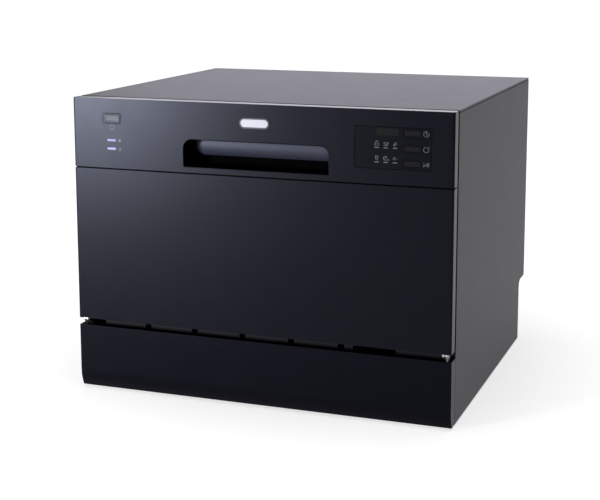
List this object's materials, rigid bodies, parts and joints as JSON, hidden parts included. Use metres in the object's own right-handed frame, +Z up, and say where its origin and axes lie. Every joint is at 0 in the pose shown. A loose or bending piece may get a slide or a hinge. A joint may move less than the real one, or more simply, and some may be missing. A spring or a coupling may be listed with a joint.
{
  "type": "countertop dishwasher",
  "caption": "Compact box-shaped dishwasher for a worktop: drop-down door with recessed pull handle and control panel, stainless tub, roll-out wire rack and rear hose recess.",
  "frame": {"origin": "middle of the footprint on the table surface, under the feet", "axes": "+X to the right seen from the front, +Y to the rear, +Z up; the door faces -Y"},
  "size_m": [0.55, 0.5, 0.425],
  "materials": {
    "case_paint": "satin, fine powder texture",
    "door_paint": "satin",
    "kick_plastic": "satin",
    "base_plastic": "matt",
    "rubber": "matt",
    "stainless": "brushed",
    "zinc_steel": "zinc plated",
    "grey_plastic": "satin",
    "white_plastic": "satin",
    "heater_steel": "heat tinted",
    "black_plastic": "matt",
    "lever_plastic": "satin",
    "window_gloss": "satin",
    "display_gloss": "smoked gloss",
    "light_plastic": "translucent",
    "board": "lacquered",
    "badge_silver": "bright rim, white face",
    "power_silver": "satin silver",
    "button_dark": "satin",
    "rack_coat": "nylon coated wire",
    "fitting_plastic": "satin",
    "hook_metal": "plated"
  },
  "bodies": {
    "cabinet": {"top_cover": "case_paint", "side_panel_left": "case_paint", "side_panel_right": "case_paint", "rear_panel": "case_paint", "base_tray": "base_plastic", "feet": "rubber", "kick_panel": "kick_plastic", "case_screws": "zinc_steel", "tub": "stainless", "mouth_frame": "stainless", "door_seal": "rubber", "rack_rails": "stainless", "sump": "grey_plastic", "floor_filter": "stainless", "spray_hub": "grey_plastic", "circulation_pump": "grey_plastic", "drain_pump": "grey_plastic", "heater": "heater_steel", "softener_tank": "white_plastic", "breather_chamber": "white_plastic", "inlet_valve": "white_plastic", "drain_spigot": "grey_plastic", "cord_gland": "rubber", "internal_hoses": "rubber", "hinge_brackets": "zinc_steel", "latch_strike": "zinc_steel", "door_springs": "zinc_steel"},
    "door": {"door_panel": "door_paint", "control_panel": "door_paint", "door_liner": "stainless", "hinge_arms": "zinc_steel", "handle_pocket": "black_plastic", "control_window": "window_gloss", "display_lens": "display_gloss", "indicator_lights": "light_plastic", "control_board": "board", "badge_plate": "badge_silver", "detergent_dispenser": "grey_plastic", "latch_housing": "white_plastic", "liner_screws": "zinc_steel"},
    "rack_body": {"rack": "rack_coat", "rack_fittings": "fitting_plastic", "plate_tines": "rack_coat"},
    "handle_lever": {"handle_lever": "lever_plastic"},
    "latch_hook": {"latch_hook": "hook_metal"},
    "power_button": {"power_button": "power_silver"},
    "delay_button": {"delay_button": "button_dark"},
    "program_button": {"program_button": "button_dark"},
    "start_button": {"start_button": "button_dark"},
    "detergent_lid": {"detergent_lid": "grey_plastic"},
    "rinse_aid_cap": {"rinse_aid_cap": "grey_plastic"},
    "cup_shelf": {"cup_shelf": "rack_coat"},
    "cutlery_basket": {"cutlery_basket": "grey_plastic"},
    "wheel_front_left": {"wheel_front_left": "fitting_plastic"},
    "wheel_front_right": {"wheel_front_right": "fitting_plastic"},
    "wheel_rear_left": {"wheel_rear_left": "fitting_plastic"},
    "wheel_rear_right": {"wheel_rear_right": "fitting_plastic"},
    "spray_arm": {"spray_arm": "grey_plastic"},
    "micro_filter": {"micro_filter": "white_plastic"},
    "salt_cap": {"salt_cap": "grey_plastic"}
  },
  "joints": [
    {"name": "door_hinge", "type": "hinge", "parent": "cabinet", "child": "door", "pos_m": [0, -0.2422, 0.104], "axis": [1, 0, 0], "range_deg": [0, 90], "stiffness_Nm_per_rad": 2.8, "deforming": ["door_springs"]},
    {"name": "rack_slide", "type": "slide", "parent": "cabinet", "child": "rack_body", "axis": [0, -1, 0], "range_m": [0, 0.3]},
    {"name": "handle_pull", "type": "hinge", "parent": "door", "child": "handle_lever", "pos_m": [0, -0.2225, 0.3795], "axis": [-1, 0, 0], "range_deg": [0, 16], "stiffness_Nm_per_rad": 0.5, "springref_deg": -5.73},
    {"name": "latch_turn", "type": "hinge", "parent": "door", "child": "latch_hook", "pos_m": [0, -0.239, 0.409], "axis": [-1, 0, 0], "range_deg": [0, 8]},
    {"name": "power_press", "type": "slide", "parent": "door", "child": "power_button", "axis": [0, 1, 0], "range_m": [0, 0.0012], "stiffness_N_per_m": 700, "springref_m": -0.0005},
    {"name": "delay_press", "type": "slide", "parent": "door", "child": "delay_button", "axis": [0, 1, 0], "range_m": [0, 0.0012], "stiffness_N_per_m": 700, "springref_m": -0.0005},
    {"name": "program_press", "type": "slide", "parent": "door", "child": "program_button", "axis": [0, 1, 0], "range_m": [0, 0.0012], "stiffness_N_per_m": 700, "springref_m": -0.0005},
    {"name": "start_press", "type": "slide", "parent": "door", "child": "start_button", "axis": [0, 1, 0], "range_m": [0, 0.0012], "stiffness_N_per_m": 700, "springref_m": -0.0005},
    {"name": "lid_slide", "type": "slide", "parent": "door", "child": "detergent_lid", "axis": [1, 0, 0], "range_m": [0, 0.048]},
    {"name": "rinse_cap_turn", "type": "hinge", "parent": "door", "child": "rinse_aid_cap", "pos_m": [0.04, -0.2032, 0.2625], "axis": [0, -1, 0], "range_deg": [0, 90]},
    {"name": "shelf_fold", "type": "hinge", "parent": "rack_body", "child": "cup_shelf", "pos_m": [-0.208, 0, 0.2775], "axis": [0, -1, 0], "range_deg": [0, 90]},
    {"name": "basket_lift", "type": "slide", "parent": "rack_body", "child": "cutlery_basket", "axis": [0, 0, 1], "range_m": [0, 0.12]},
    {"name": "roll_front_left", "type": "hinge", "parent": "rack_body", "child": "wheel_front_left", "pos_m": [-0.227, -0.15, 0.155], "axis": [1, 0, 0], "continuous": true},
    {"name": "roll_front_right", "type": "hinge", "parent": "rack_body", "child": "wheel_front_right", "pos_m": [0.227, -0.15, 0.155], "axis": [1, 0, 0], "continuous": true},
    {"name": "roll_rear_left", "type": "hinge", "parent": "rack_body", "child": "wheel_rear_left", "pos_m": [-0.227, 0.126, 0.155], "axis": [1, 0, 0], "continuous": true},
    {"name": "roll_rear_right", "type": "hinge", "parent": "rack_body", "child": "wheel_rear_right", "pos_m": [0.227, 0.126, 0.155], "axis": [1, 0, 0], "continuous": true},
    {"name": "arm_spin", "type": "hinge", "parent": "cabinet", "child": "spray_arm", "pos_m": [0, -0.01, 0.1425], "axis": [0, 0, 1], "continuous": true},
    {"name": "filter_twist", "type": "hinge", "parent": "cabinet", "child": "micro_filter", "pos_m": [0.078, -0.07, 0.135], "axis": [0, 0, 1], "range_deg": [0, 90]},
    {"name": "salt_cap_turn", "type": "hinge", "parent": "cabinet", "child": "salt_cap", "pos_m": [-0.11, -0.1, 0.135], "axis": [0, 0, 1], "range_deg": [0, 540]}
  ],
  "couplings": [
    {"joint": "rack_slide", "follows": "door_hinge", "m_per_rad": 0.05},
    {"joint": "latch_turn", "follows": "handle_pull", "ratio": 0.5},
    {"joint": "roll_front_left", "follows": "door_hinge", "ratio": 4.1667},
    {"joint": "roll_front_right", "follows": "door_hinge", "ratio": 4.1667},
    {"joint": "roll_rear_left", "follows": "door_hinge", "ratio": 4.1667},
    {"joint": "roll_rear_right", "follows": "door_hinge", "ratio": 4.1667}
  ]
}
